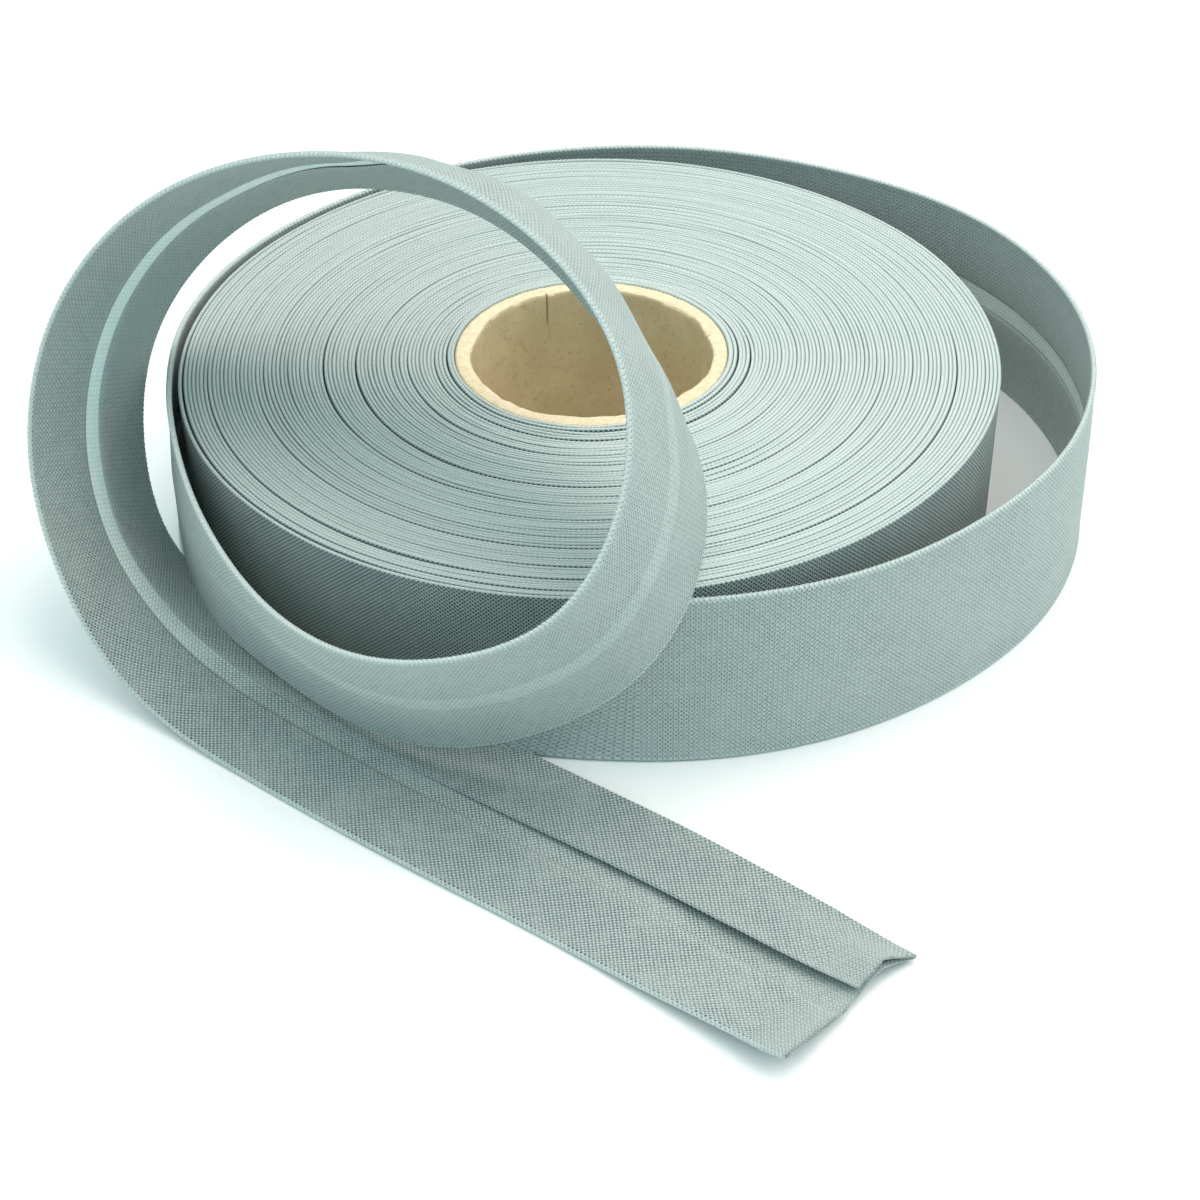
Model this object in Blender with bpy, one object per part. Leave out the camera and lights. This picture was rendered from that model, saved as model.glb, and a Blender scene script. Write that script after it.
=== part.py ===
"""Roll of bias binding: a folded cotton strip wound on a cardboard core and laid on its side.

The outermost turn has come loose. It stands away from the roll on the right, peels off at the
front left, climbs in one standing loop that leans back over the roll, and comes down on the
left to lie flat, its turned-in side up, with its far edge tucked under the rim of the roll.

All sizes below are in millimetres and degrees; the meshes are made in metres.
"""
import math

import bpy
import numpy as np

MILLIMETRE = 0.001

# The binding: a strip with both raw edges turned in to the wrong side
BINDING_WIDTH = 30.0
BINDING_THICKNESS = 1.0      # two layers of cloth with the air between them
EDGE_GAP = 3.6               # between the two turned-in raw edges
EDGE_GAP_DEPTH = 0.4
FOLD_CHAMFER = 0.3

# The cardboard core
CORE_OUTER_RADIUS = 22.25
CORE_INNER_RADIUS = 19.4
CORE_HEIGHT = 30.2
CORE_CHAMFER = 0.4
CORE_SIDES = 72

# The wound roll
WINDING_GAP = 0.3            # clearance between separate pieces
TURN_PITCH = 0.65            # one turn of folded binding
ROLL_OUTER_RADIUS = 67.05    # over the last tight turn
ROLL_SIDES = 97
EXIT_ANGLE = 265.0           # where the last turn leaves the roll
STEP_ANGLE = 0.3             # how much of the round the step face there takes
WALL_TAPER = 0.7             # the wall is this much narrower at the table
RIM_ROUND = 0.5
# Where the tail is tucked under the rim, the feet of the outer turns stand over it
TUCK_LIFT = 2.5
TUCK_RADII = (49.0, 56.0)
TUCK_ANGLES = (188.0, 201.0, 263.0, 276.0)

# Turns stand a little proud or low across the upper face of the roll
UPPER_FACE = (
    # radius, height above the binding's width
    (23.4, 0.1),
    (25.5, -0.3),
    (31.0, 0.1),
    (39.5, -0.1),
    (48.5, 0.2),
    (58.0, 0.0),
)

# The loose turn stands on edge round the roll, just clear of what it stands on
LOOSE_TURN_HEIGHT = 15.15
LOOSE_TURN = (
    # angle, radius of the strip's middle
    (265.6, 67.2),
    (280.0, 68.9),
    (300.0, 72.3),
    (320.0, 75.8),
    (336.0, 78.9),
    (353.0, 80.9),
    (370.0, 81.6),
    (390.0, 80.3),
    (411.0, 76.5),
    (432.0, 73.0),
    (456.0, 70.1),
    (480.0, 68.4),
    (505.0, 68.2),
    (525.0, 68.4),
)

# The free strip: its middle line, how far its width leans from upright,
# and the bearing towards which its upper edge leans
FREE_STRIP = (
    # x, y, z, lean, bearing
    (-68.5, 3.0, 15.8, -2, 200),
    (-68.0, -8.5, 16.5, -2, 203),
    (-66.0, -20.0, 17.3, 0, 208),
    (-61.5, -34.5, 17.4, 5, 214),
    (-54.5, -48.0, 17.0, 14, 217),
    (-43.0, -63.0, 16.0, 24, 218),
    (-30.0, -74.0, 17.5, 31, 220),
    (-14.5, -80.5, 23.0, 39, 224),
    (1.5, -80.5, 33.0, 45, 232),
    (9.5, -72.0, 45.5, 46, 236),
    (9.0, -58.5, 57.0, 43, 241),
    (1.0, -45.0, 64.0, 39, 245),
    (-10.0, -32.5, 69.5, 43, 242),
    (-23.5, -21.5, 72.0, 50, 239),
    (-39.0, -13.5, 70.5, 56, 239),
    (-54.5, -8.5, 64.5, 60, 239),
    (-68.0, -7.5, 54.0, 61, 240),
    (-77.5, -11.0, 39.5, 62, 241),
    (-80.0, -18.5, 24.0, 63, 240),
    (-75.5, -29.0, 11.2, 65, 238),
    (-63.5, -41.5, 3.2, 81, 232),
    (-54.5, -49.5, 1.3, 88, 230),
    (-44.5, -58.0, 0.7, 90, 230),
    (-18.5, -79.0, 0.7, 90, 231),
    (8.0, -99.5, 0.8, 90, 231),
    (21.5, -111.0, 1.4, 87, 231),
    (35.5, -122.0, 2.5, 83, 231),
)
STATION_SPACING = 5.0


def smooth_through(rows, spacing):
    """Evenly spaced points on the natural cubic curve through the rows' points."""
    rows = np.array(rows, dtype=float)
    steps = np.linalg.norm(np.diff(rows[:, :3], axis=0), axis=1)
    knots = np.concatenate(([0.0], np.cumsum(steps)))
    count = len(rows)
    system = np.zeros((count, count))
    right = np.zeros((count, rows.shape[1]))
    system[0, 0] = system[-1, -1] = 1.0
    for i in range(1, count - 1):
        before, after = steps[i - 1], steps[i]
        system[i, i - 1:i + 2] = before, 2.0 * (before + after), after
        right[i] = 6.0 * ((rows[i + 1] - rows[i]) / after - (rows[i] - rows[i - 1]) / before)
    bends = np.linalg.solve(system, right)
    places = np.linspace(0.0, knots[-1], int(round(knots[-1] / spacing)) + 1)
    spans = np.clip(np.searchsorted(knots, places, side="right") - 1, 0, count - 2)
    length = steps[spans][:, None]
    far = (places - knots[spans])[:, None] / length
    near = 1.0 - far
    return (near * rows[spans] + far * rows[spans + 1]
            + ((near ** 3 - near) * bends[spans]
               + (far ** 3 - far) * bends[spans + 1]) * length ** 2 / 6.0)


def strip_route():
    """Points of the strip's middle line, with its width and face directions."""
    rows = []
    for angle, radius in LOOSE_TURN:
        turn = math.radians(angle)
        rows.append((radius * math.cos(turn), radius * math.sin(turn),
                     LOOSE_TURN_HEIGHT, 0.0, 0.0, 1.0))
    for x, y, z, lean, bearing in FREE_STRIP:
        lean, bearing = math.radians(lean), math.radians(bearing)
        rows.append((x, y, z, math.sin(lean) * math.cos(bearing),
                     math.sin(lean) * math.sin(bearing), math.cos(lean)))
    stations = smooth_through(rows, STATION_SPACING)
    middle, width = stations[:, :3], stations[:, 3:]
    along = np.gradient(middle, axis=0)
    along /= np.linalg.norm(along, axis=1)[:, None]
    width = width - along * np.sum(width * along, axis=1)[:, None]
    width /= np.linalg.norm(width, axis=1)[:, None]
    return middle, width, np.cross(along, width)


def strip_section():
    """Outline across the strip: place across it, and height on its face side."""
    side, half = BINDING_WIDTH / 2.0, BINDING_THICKNESS / 2.0
    gap, floor = EDGE_GAP / 2.0, EDGE_GAP_DEPTH - half
    face_side = [(-side, 0.0), (FOLD_CHAMFER - side, half), (0.0, half),
                 (side - FOLD_CHAMFER, half), (side, 0.0)]
    turned_in_side = [(side - FOLD_CHAMFER, -half), (gap, -half), (gap, floor),
                      (-gap, floor), (-gap, -half), (FOLD_CHAMFER - side, -half)]
    return face_side + turned_in_side


def add_object(name, points, faces, material):
    """A mesh object from points in millimetres."""
    mesh = bpy.data.meshes.new(name)
    mesh.from_pydata([tuple(MILLIMETRE * value for value in point) for point in points], [], faces)
    mesh.materials.append(material)
    mesh.shade_smooth()
    mesh.set_sharp_from_angle(angle=math.radians(40))
    mesh.validate()
    body = bpy.data.objects.new(name, mesh)
    bpy.context.scene.collection.objects.link(body)
    return body


def add_material(name, color, roughness):
    material = bpy.data.materials.new(name)
    material.use_nodes = True
    shader = material.node_tree.nodes["Principled BSDF"]
    shader.inputs["Base Color"].default_value = (*color, 1.0)
    shader.inputs["Roughness"].default_value = roughness
    shader.inputs["Metallic"].default_value = 0.0
    return material


def ring_faces(rings, points_per_ring):
    """Quads of a closed ring of outlines, facing out where the outlines run
    counter-clockwise seen against the way round."""
    faces = []
    for ring in range(rings):
        following = (ring + 1) % rings
        for point in range(points_per_ring):
            beside = (point + 1) % points_per_ring
            faces.append((ring * points_per_ring + point, following * points_per_ring + point,
                          following * points_per_ring + beside, ring * points_per_ring + beside))
    return faces


def add_core(material):
    """The cardboard tube, with lightly worn rims."""
    outer, inner, chamfer = CORE_OUTER_RADIUS, CORE_INNER_RADIUS, CORE_CHAMFER
    outline = [(inner, chamfer), (inner + chamfer, 0.0), (outer - chamfer, 0.0), (outer, chamfer),
               (outer, CORE_HEIGHT - chamfer), (outer - chamfer, CORE_HEIGHT),
               (inner + chamfer, CORE_HEIGHT), (inner, CORE_HEIGHT - chamfer)]
    points = []
    for side in range(CORE_SIDES):
        turn = 2.0 * math.pi * side / CORE_SIDES
        points += [(r * math.cos(turn), r * math.sin(turn), z) for r, z in outline]
    return add_object("core_tube", points, ring_faces(CORE_SIDES, len(outline)), material)


def smooth_step(value, low, high):
    share = min(max((value - low) / (high - low), 0.0), 1.0)
    return share * share * (3.0 - 2.0 * share)


def tuck_lift(radius, angle):
    """How far the feet of the turns stand up over the tail that lies under them."""
    start, full, last, end = TUCK_ANGLES
    window = smooth_step(angle, start, full) * (1.0 - smooth_step(angle, last, end))
    return TUCK_LIFT * window * smooth_step(radius, *TUCK_RADII)


def add_roll(material):
    """All the tight turns as one wound ring, its wall a spiral with a step at the exit."""
    inner = CORE_OUTER_RADIUS + WINDING_GAP
    base_radii = (inner + RIM_ROUND, TUCK_RADII[0], sum(TUCK_RADII) / 2.0, TUCK_RADII[1])
    points = []
    for side in range(ROLL_SIDES):
        after_exit = 360.0 * side / (ROLL_SIDES - 1)
        angle = (EXIT_ANGLE + after_exit) % 360.0
        outer = ROLL_OUTER_RADIUS - TURN_PITCH * (1.0 - after_exit / 360.0)
        foot = outer - WALL_TAPER
        outline = [(inner, RIM_ROUND)]
        outline += [(radius, tuck_lift(radius, angle)) for radius in base_radii]
        outline += [(foot - RIM_ROUND, tuck_lift(foot, angle)),
                    (foot, RIM_ROUND + tuck_lift(foot, angle)),
                    (outer, BINDING_WIDTH - RIM_ROUND),
                    (outer - RIM_ROUND, BINDING_WIDTH)]
        outline += [(radius, BINDING_WIDTH + proud) for radius, proud in reversed(UPPER_FACE)]
        outline += [(inner, BINDING_WIDTH - RIM_ROUND)]
        turn = math.radians(angle)
        if side == ROLL_SIDES - 1:
            turn -= math.radians(STEP_ANGLE)   # the step face, just before the exit angle
        points += [(r * math.cos(turn), r * math.sin(turn), z) for r, z in outline]
    return add_object("wound_roll", points, ring_faces(ROLL_SIDES, len(outline)), material)


def add_loose_binding(material):
    """The loose outer turn, the standing loop and the flat tail, as one folded strip."""
    middle, width, face = strip_route()
    section = strip_section()
    size = len(section)
    points = []
    for place, across, out in zip(middle, width, face):
        points += [tuple(place + across * a + out * n) for a, n in section]
    faces = []
    for station in range(len(middle) - 1):
        for point in range(size):
            beside = (point + 1) % size
            faces.append((station * size + point, (station + 1) * size + point,
                          (station + 1) * size + beside, station * size + beside))
    last = (len(middle) - 1) * size
    faces.append(tuple(range(size)))
    faces.append(tuple(last + point for point in reversed(range(size))))
    return add_object("loose_binding", points, faces, material)


def stand_at_origin(bodies):
    """Move the meshes so that the middle of the whole thing's base is the origin."""
    corners = np.array([corner.co for body in bodies for corner in body.data.vertices])
    low, high = corners.min(axis=0), corners.max(axis=0)
    shift = (-(low[0] + high[0]) / 2.0, -(low[1] + high[1]) / 2.0, -low[2])
    for body in bodies:
        for corner in body.data.vertices:
            corner.co.x += shift[0]
            corner.co.y += shift[1]
            corner.co.z += shift[2]
    return shift


def main():
    for old in list(bpy.data.objects):
        bpy.data.objects.remove(old, do_unlink=True)
    binding = add_material("cotton_binding", (0.39, 0.47, 0.45), 0.85)
    cardboard = add_material("kraft_cardboard", (0.53, 0.40, 0.25), 0.8)
    bodies = [add_core(cardboard), add_roll(binding), add_loose_binding(binding)]
    shift = stand_at_origin(bodies)
    print("roll axis at x %.2f mm, y %.2f mm" % (shift[0] / MILLIMETRE, shift[1] / MILLIMETRE))


main()
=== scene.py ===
import math

import bmesh
import bpy
import numpy as np
from bpy.props import FloatProperty, FloatVectorProperty, IntProperty, PointerProperty
from mathutils import Matrix, Vector


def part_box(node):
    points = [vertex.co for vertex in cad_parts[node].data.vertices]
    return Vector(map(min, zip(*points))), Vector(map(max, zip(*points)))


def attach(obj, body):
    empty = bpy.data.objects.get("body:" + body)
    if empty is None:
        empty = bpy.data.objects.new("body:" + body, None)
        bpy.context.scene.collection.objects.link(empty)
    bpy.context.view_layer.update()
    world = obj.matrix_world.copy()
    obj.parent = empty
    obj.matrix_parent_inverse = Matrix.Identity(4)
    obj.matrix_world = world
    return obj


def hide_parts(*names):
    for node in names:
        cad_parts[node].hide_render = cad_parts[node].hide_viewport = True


bl_info = {
    "name": "Roll of Bias Binding",
    "version": (1, 0, 0),
    "blender": (4, 5, 0),
    "location": "View3D > Sidebar > Binding",
    "description": "Builds a wound roll of folded bias binding with its loose, looped end",
    "category": "Object",
}

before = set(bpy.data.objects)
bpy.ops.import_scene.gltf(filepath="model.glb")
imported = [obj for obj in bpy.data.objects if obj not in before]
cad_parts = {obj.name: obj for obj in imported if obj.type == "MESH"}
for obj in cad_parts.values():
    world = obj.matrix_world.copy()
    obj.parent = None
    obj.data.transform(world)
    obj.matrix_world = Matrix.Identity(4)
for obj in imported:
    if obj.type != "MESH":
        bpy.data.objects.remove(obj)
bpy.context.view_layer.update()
CORE_LOW, CORE_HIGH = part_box("core_tube")
ROLL_LOW, ROLL_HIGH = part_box("wound_roll")

MM = 0.001                               # metres
SAME_PLACE = 1e-7                        # metres: points nearer than this are joined
FULL_TURN = 2 * math.pi
AXIS_X = (CORE_LOW.x + CORE_HIGH.x) / 2.0 / MM
AXIS_Y = (CORE_LOW.y + CORE_HIGH.y) / 2.0 / MM

# The loose turn, standing on edge round the roll: angle in degrees, radius in millimetres
LOOSE_TURN = (
    (265.5, 66.8),
    (270.0, 67.3),
    (280.0, 68.8),
    (300.0, 72.3),
    (320.0, 75.8),
    (336.0, 78.9),
    (353.0, 80.9),
    (370.0, 81.6),
    (390.0, 80.3),
    (411.0, 76.5),
    (432.0, 73.0),
    (456.0, 70.1),
    (480.0, 68.4),
    (505.0, 68.2),
    (525.0, 68.4),
)
LOOSE_TURN_HEIGHT = 15.15

# The free strip, in millimetres from the roll's axis: middle line x, y, z, how far
# its width leans from upright, and the bearing its upper edge leans towards
FREE_STRIP = (
    (-68.5, 3.0, 15.8, -2, 200),
    (-68.0, -8.5, 16.5, -2, 203),
    (-66.0, -20.0, 17.3, 0, 208),
    (-61.5, -34.5, 17.4, 5, 214),
    (-54.5, -48.0, 17.0, 14, 217),
    (-43.0, -63.0, 16.0, 24, 218),
    (-30.0, -74.0, 17.5, 31, 220),
    (-14.5, -80.5, 23.0, 39, 224),
    (1.5, -80.5, 33.0, 45, 232),
    (9.5, -72.0, 45.5, 46, 236),
    (9.0, -58.5, 57.0, 43, 241),
    (1.0, -45.0, 64.0, 39, 245),
    (-10.0, -32.5, 69.5, 43, 242),
    (-23.5, -21.5, 72.0, 50, 239),
    (-39.0, -13.5, 70.5, 56, 239),
    (-54.5, -8.5, 64.5, 60, 239),
    (-68.0, -7.5, 54.0, 61, 240),
    (-77.5, -11.0, 39.5, 62, 241),
    (-80.0, -18.5, 24.0, 63, 240),
    (-75.5, -29.0, 11.2, 65, 238),
    (-63.5, -41.5, 3.2, 81, 232),
    (-54.5, -49.5, 1.3, 88, 230),
    (-44.5, -58.0, 0.7, 90, 230),
    (-18.5, -79.0, 0.7, 90, 231),
    (8.0, -99.5, 0.8, 90, 231),
    (21.5, -111.0, 1.4, 87, 231),
    (35.5, -122.0, 2.5, 83, 231),
)

# How the strip's section changes along it, all in millimetres: place along the strip,
# how far its middle bows to the face side, how sharply it is creased along the middle,
# how far the raw edges of the upper and the foot flap lift, and how far the foot flap arches
STRIP_SHAPE = (
    (0.0, 0.0, 0.0, 0.0, 0.0, 0.0),
    (60.0, 0.2, 0.1, 0.05, 0.05, 0.0),
    (340.0, 0.3, 0.1, 0.05, 0.05, 0.0),
    (385.0, 0.0, 0.4, 0.05, 0.05, 0.0),
    (430.0, -0.6, 0.6, 0.05, 0.05, 0.0),
    (480.0, -0.4, 0.5, 0.05, 0.05, 0.0),
    (505.0, 0.6, 0.3, 0.05, 0.05, 0.0),
    (520.0, 2.6, 0.1, 0.05, 0.05, 0.0),
    (535.0, 4.6, 0.0, 0.05, 0.05, 0.0),
    (550.0, 5.2, 0.0, 0.05, 0.05, 0.0),
    (564.0, 3.6, 0.0, 0.05, 0.05, 0.0),
    (582.0, 1.2, 0.0, 0.05, 0.05, 0.0),
    (605.0, 0.0, -0.2, 0.02, 0.02, 0.0),
    (640.0, -0.4, -0.6, 0.02, 0.02, 0.0),
    (670.0, -0.5, -0.7, 0.02, 0.02, 0.0),
    (705.0, 0.0, -0.2, 0.02, 0.05, 0.0),
    (735.0, 0.0, 0.0, 0.02, 0.20, 0.0),
    (775.0, 0.2, 0.0, 0.03, 0.60, 0.1),
    (800.0, 0.6, 0.0, 0.04, 0.95, 0.4),
    (815.0, 0.9, 0.0, 0.06, 1.25, 0.9),
    (830.0, 1.0, 0.0, 0.10, 1.35, 1.1),
)

# How strongly light shows through the single layer between the raw edges, on the
# face side and on the turned-in side
SHOW_THROUGH = (
    (0.0, 0.0, 0.6),
    (300.0, 0.0, 0.8),
    (385.0, 0.02, 0.8),
    (430.0, 0.14, 0.7),
    (500.0, 0.12, 0.5),
    (545.0, 0.05, 0.7),
    (580.0, 0.0, 1.0),
    (660.0, 0.0, 1.0),
    (685.0, 0.0, 0.6),
    (710.0, 0.0, 0.15),
    (830.0, 0.0, 0.0),
)

# How open the weave looks on the turned-in side, from pressed and fuzzy to loose
OPEN_WEAVE = (
    (0.0, 0.35),
    (580.0, 0.35),
    (650.0, 0.5),
    (700.0, 0.9),
    (760.0, 1.0),
    (800.0, 0.9),
    (820.0, 0.45),
)

# Where the wound turns stand apart: radius, middle and half of the angle, width of the gap
OPEN_TURNS = (
    (23.7, 275.0, 150.0, 0.40),
    (25.9, 285.0, 120.0, 0.45),
    (28.2, 255.0, 50.0, 0.20),
    (30.5, 240.0, 70.0, 0.28),
    (33.1, 290.0, 60.0, 0.20),
    (35.0, 95.0, 90.0, 0.15),
    (38.5, 250.0, 90.0, 0.40),
    (41.2, 300.0, 50.0, 0.22),
    (43.5, 225.0, 70.0, 0.32),
    (46.0, 265.0, 45.0, 0.20),
    (48.0, 280.0, 80.0, 0.32),
    (51.5, 130.0, 90.0, 0.15),
    (52.8, 235.0, 60.0, 0.25),
    (55.0, 255.0, 80.0, 0.32),
    (57.3, 290.0, 45.0, 0.20),
    (59.5, 300.0, 80.0, 0.28),
    (62.5, 245.0, 80.0, 0.28),
    (65.2, 255.0, 60.0, 0.22),
    (66.6, 218.0, 62.0, 0.38),
)

# How proud or low the turns stand across the upper face: radius, height
UPPER_FACE = (
    (22.3, 0.35),
    (25.5, 0.0),
    (31.0, 0.1),
    (39.5, -0.1),
    (48.5, 0.2),
    (58.0, 0.0),
    (67.5, 0.0),
)


# ---------------------------------------------------------------- settings

class BindingSizes(bpy.types.PropertyGroup):
    """Sizes of the binding, its roll and its core, in millimetres"""

    width: FloatProperty(
        name="Finished Width", description="Width of the folded binding in millimetres",
        default=30.0, min=5.0, max=60.0)
    cloth: FloatProperty(
        name="Cloth Thickness", description="Thickness of one layer of cloth in millimetres",
        default=0.26, min=0.1, max=1.0)
    edge_gap: FloatProperty(
        name="Gap Between Raw Edges",
        description="Width left between the turned-in edges in millimetres",
        default=3.6, min=0.0, max=10.0)
    fold_depth: FloatProperty(
        name="Fold Depth", description="Thickness of the folded edge in millimetres",
        default=0.9, min=0.3, max=2.0)
    roll_radius: FloatProperty(
        name="Roll Radius", description="Radius over the last tight turn in millimetres",
        default=(ROLL_HIGH.x - ROLL_LOW.x) / 2.0 / MM, min=30.0, max=150.0)
    core_radius: FloatProperty(
        name="Core Radius", description="Outside radius of the cardboard core in millimetres",
        default=(CORE_HIGH.x - CORE_LOW.x) / 2.0 / MM, min=10.0, max=60.0)
    core_wall: FloatProperty(
        name="Core Wall", description="Thickness of the cardboard in millimetres",
        default=2.7, min=1.0, max=8.0)
    turns: IntProperty(
        name="Turns", description="Number of tight turns on the core",
        default=68, min=5, max=200)
    thread: FloatProperty(
        name="Thread Spacing", description="Distance between neighbouring threads in millimetres",
        default=0.55, min=0.2, max=2.0)


class BindingColours(bpy.types.PropertyGroup):
    """Colours of the binding, its core and the floor, as sRGB values"""

    cloth: FloatVectorProperty(
        name="Cotton", description="Colour of the dyed cotton", subtype="COLOR_GAMMA", size=3,
        default=(0xAC / 255, 0xB6 / 255, 0xB2 / 255), min=0.0, max=1.0)
    floor: FloatVectorProperty(
        name="Floor", description="Colour of the floor", subtype="COLOR_GAMMA", size=3,
        default=(0xFB / 255, 0xFD / 255, 0xFC / 255), min=0.0, max=1.0)


# ---------------------------------------------------------------- materials

MULTIPLY = {"operation": "MULTIPLY"}
MULTIPLY_ADD = {"operation": "MULTIPLY_ADD"}
ABSOLUTE = {"operation": "ABSOLUTE"}
SINE = {"operation": "SINE"}
FLAT_NOISE = {"noise_dimensions": "2D"}
SMOOTH_STEP = {"interpolation_type": "SMOOTHSTEP"}
COLOUR_MIX = {"data_type": "RGBA", "blend_type": "MIX"}
MIXED = 2                                # a Mix node's colour output


def linear(value):
    """Linear colour from an sRGB hex number such as 0xB8C8C5 or from three sRGB shares."""
    if isinstance(value, int):
        value = [(value >> shift & 255) / 255.0 for shift in (16, 8, 0)]
    shares = [v / 12.92 if v <= 0.04045 else ((v + 0.055) / 1.055) ** 2.4 for v in value]
    return (*shares, 1.0)


def scaled(colour, *shares):
    """A linear colour made lighter or darker, by one share or by one for each channel."""
    shares = shares * 3 if len(shares) == 1 else shares
    return (*(c * share for c, share in zip(colour, shares)), 1.0)


def add_node(tree, kind, settings=None, out=0, **inputs):
    """Adds a node, sets its properties, sets or links its inputs by name, or by number
    as i0, i1, and gives back one of its outputs."""
    node = tree.nodes.new("ShaderNode" + kind)
    for name, value in (settings or {}).items():
        setattr(node, name, value)
    for name, value in inputs.items():
        key = int(name[1:]) if name[0] == "i" and name[1:].isdigit() else name.replace("_", " ")
        if isinstance(value, bpy.types.NodeSocket):
            tree.links.new(value, node.inputs[key])
        else:
            node.inputs[key].default_value = value
    return node.outputs[out]


def new_material(name):
    material = bpy.data.materials.new(name)
    material.use_nodes = True
    tree = material.node_tree
    return material, tree, tree.nodes["Principled BSDF"]


def dyed_cotton(sizes, colours):
    """Plain-weave cotton, piece dyed and cut on the bias: threads run at 45 degrees to the
    edges, pinholes show between them, and the surface is matt with a faint fuzz.
    The weave is drawn at the spacing set, coarser than the real 0.4 mm, so that it shows."""
    # painted shade darkens the pinholes, the crossings and the grooves between turns; painted light
    # lightens the single layer and the folds
    material, tree, shader = new_material("plain_weave_bias_cotton")
    place = add_node(tree, "UVMap", {"uv_map": "cloth"})
    threads = add_node(tree, "Mapping", Vector=place, Rotation=(0, 0, math.radians(45)),
                       Scale=(1 / sizes.thread, 1 / sizes.thread, 1))
    axes = add_node(tree, "SeparateXYZ", Vector=threads).node.outputs
    waves = []
    for axis in (0, 1):
        turn = add_node(tree, "Math", MULTIPLY, i0=axes[axis], i1=math.pi)
        waves.append(add_node(tree, "Math", SINE, i0=turn))
    rounds = [add_node(tree, "Math", ABSOLUTE, i0=wave) for wave in waves]
    crossing = add_node(tree, "Math", MULTIPLY, i0=waves[0], i1=waves[1])
    top_thread = add_node(tree, "Math", {"operation": "MAXIMUM"}, i0=rounds[0], i1=rounds[1])

    # slubs: thick and thin stretches of about one by eight threads, along the threads
    slubs = []
    for scale in ((0.12, 0.9, 1.0), (0.9, 0.12, 1.0)):
        drawn = add_node(tree, "Mapping", Vector=threads, Scale=scale)
        slubs.append(add_node(tree, "TexNoise", FLAT_NOISE, Vector=drawn, Scale=1.0, Detail=2.0,
                              Roughness=0.6))
    slub = add_node(tree, "Math", {"operation": "ADD"}, i0=slubs[0], i1=slubs[1])
    # fuzz of about 0.25 mm, and patches of about 14 mm where the finish was pressed harder
    fuzz = add_node(tree, "TexNoise", FLAT_NOISE, Vector=place, Scale=4.0, Detail=3.0,
                    Roughness=0.7)
    patches = add_node(tree, "TexNoise", FLAT_NOISE, Vector=place, Scale=0.07, Detail=2.0)

    light_through, fold_light, groove_shade, open_weave = (
        add_node(tree, "Attribute", {"attribute_name": mark}, out="Fac")
        for mark in ("painted_light_through", "fold_nap_and_light", "groove_shade", "open_weave"))

    # pinholes between the threads, darkened with painted shade; they close in pressed patches,
    #     in thick threads, round folds and over a single layer: mark, its low and high value, the
    #     share left at each
    pinhole = add_node(tree, "MapRange", SMOOTH_STEP, Value=top_thread, From_Min=0.5,
                       From_Max=1.0, To_Min=1.0, To_Max=0.0)
    for mark, low, high, at_low, at_high in (
            (patches, 0.35, 0.65, 0.75, 1.0), (slub, 0.75, 1.25, 1.0, 0.65),
            (fold_light, 0.3, 1.0, 1.0, 0.1), (light_through, 0.0, 1.0, 1.0, 0.35)):
        share = add_node(tree, "MapRange", SMOOTH_STEP, Value=mark, From_Min=low,
                         From_Max=high, To_Min=at_low, To_Max=at_high)
        pinhole = add_node(tree, "Math", MULTIPLY, i0=pinhole, i1=share)
    for share in (open_weave, 1.3):
        pinhole = add_node(tree, "Math", MULTIPLY, i0=pinhole, i1=share)

    # painted shade in the grooves between wound turns, broken into dots by the threads that go over
    # each fold
    stitch = add_node(tree, "Math", ABSOLUTE, i0=crossing)
    dotted = add_node(tree, "MapRange", SMOOTH_STEP, Value=stitch, From_Min=0.1, From_Max=0.7,
                      To_Min=1.0, To_Max=0.35)

    colour = linear(colours.cloth)
    painted_shade = scaled(colour, 0.05, 0.15, 0.18)        # painted shade, tinted teal: between the threads, under crossings and in the grooves between turns
    thick_thread = add_node(tree, "MapRange", SMOOTH_STEP, Value=slub, From_Min=0.75,
                            From_Max=1.25, To_Min=0.0, To_Max=1.0)
    body = add_node(tree, "Mix", COLOUR_MIX, out=MIXED, i0=thick_thread,
                    i6=scaled(colour, 0.97), i7=scaled(colour, 1.03))
    for share, toward in (
            (add_node(tree, "MapRange", SMOOTH_STEP, Value=fuzz, From_Min=0.38, From_Max=0.66,
                      To_Min=0.0, To_Max=0.34), scaled(colour, 1.45)),
            # painted light: lighter where light shows through a single layer
            (light_through, scaled(colour, 2.4)),
            # partly fluffed thread, partly painted highlight where the folds catch the light
            (add_node(tree, "Math", MULTIPLY, i0=fold_light, i1=0.8), scaled(colour, 1.8)),
            # painted shade where one thread dips under another
            (add_node(tree, "MapRange", SMOOTH_STEP, Value=crossing, From_Min=-0.3,
                      From_Max=0.3, To_Min=0.0, To_Max=0.16), painted_shade),
            # painted shade in the pinholes
            (pinhole, painted_shade),
            # painted shade in the grooves between wound turns
            (add_node(tree, "Math", MULTIPLY, i0=groove_shade, i1=dotted), painted_shade)):
        body = add_node(tree, "Mix", COLOUR_MIX, out=MIXED, i0=share, i6=body, i7=toward)
    tree.links.new(body, shader.inputs["Base Color"])

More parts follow.
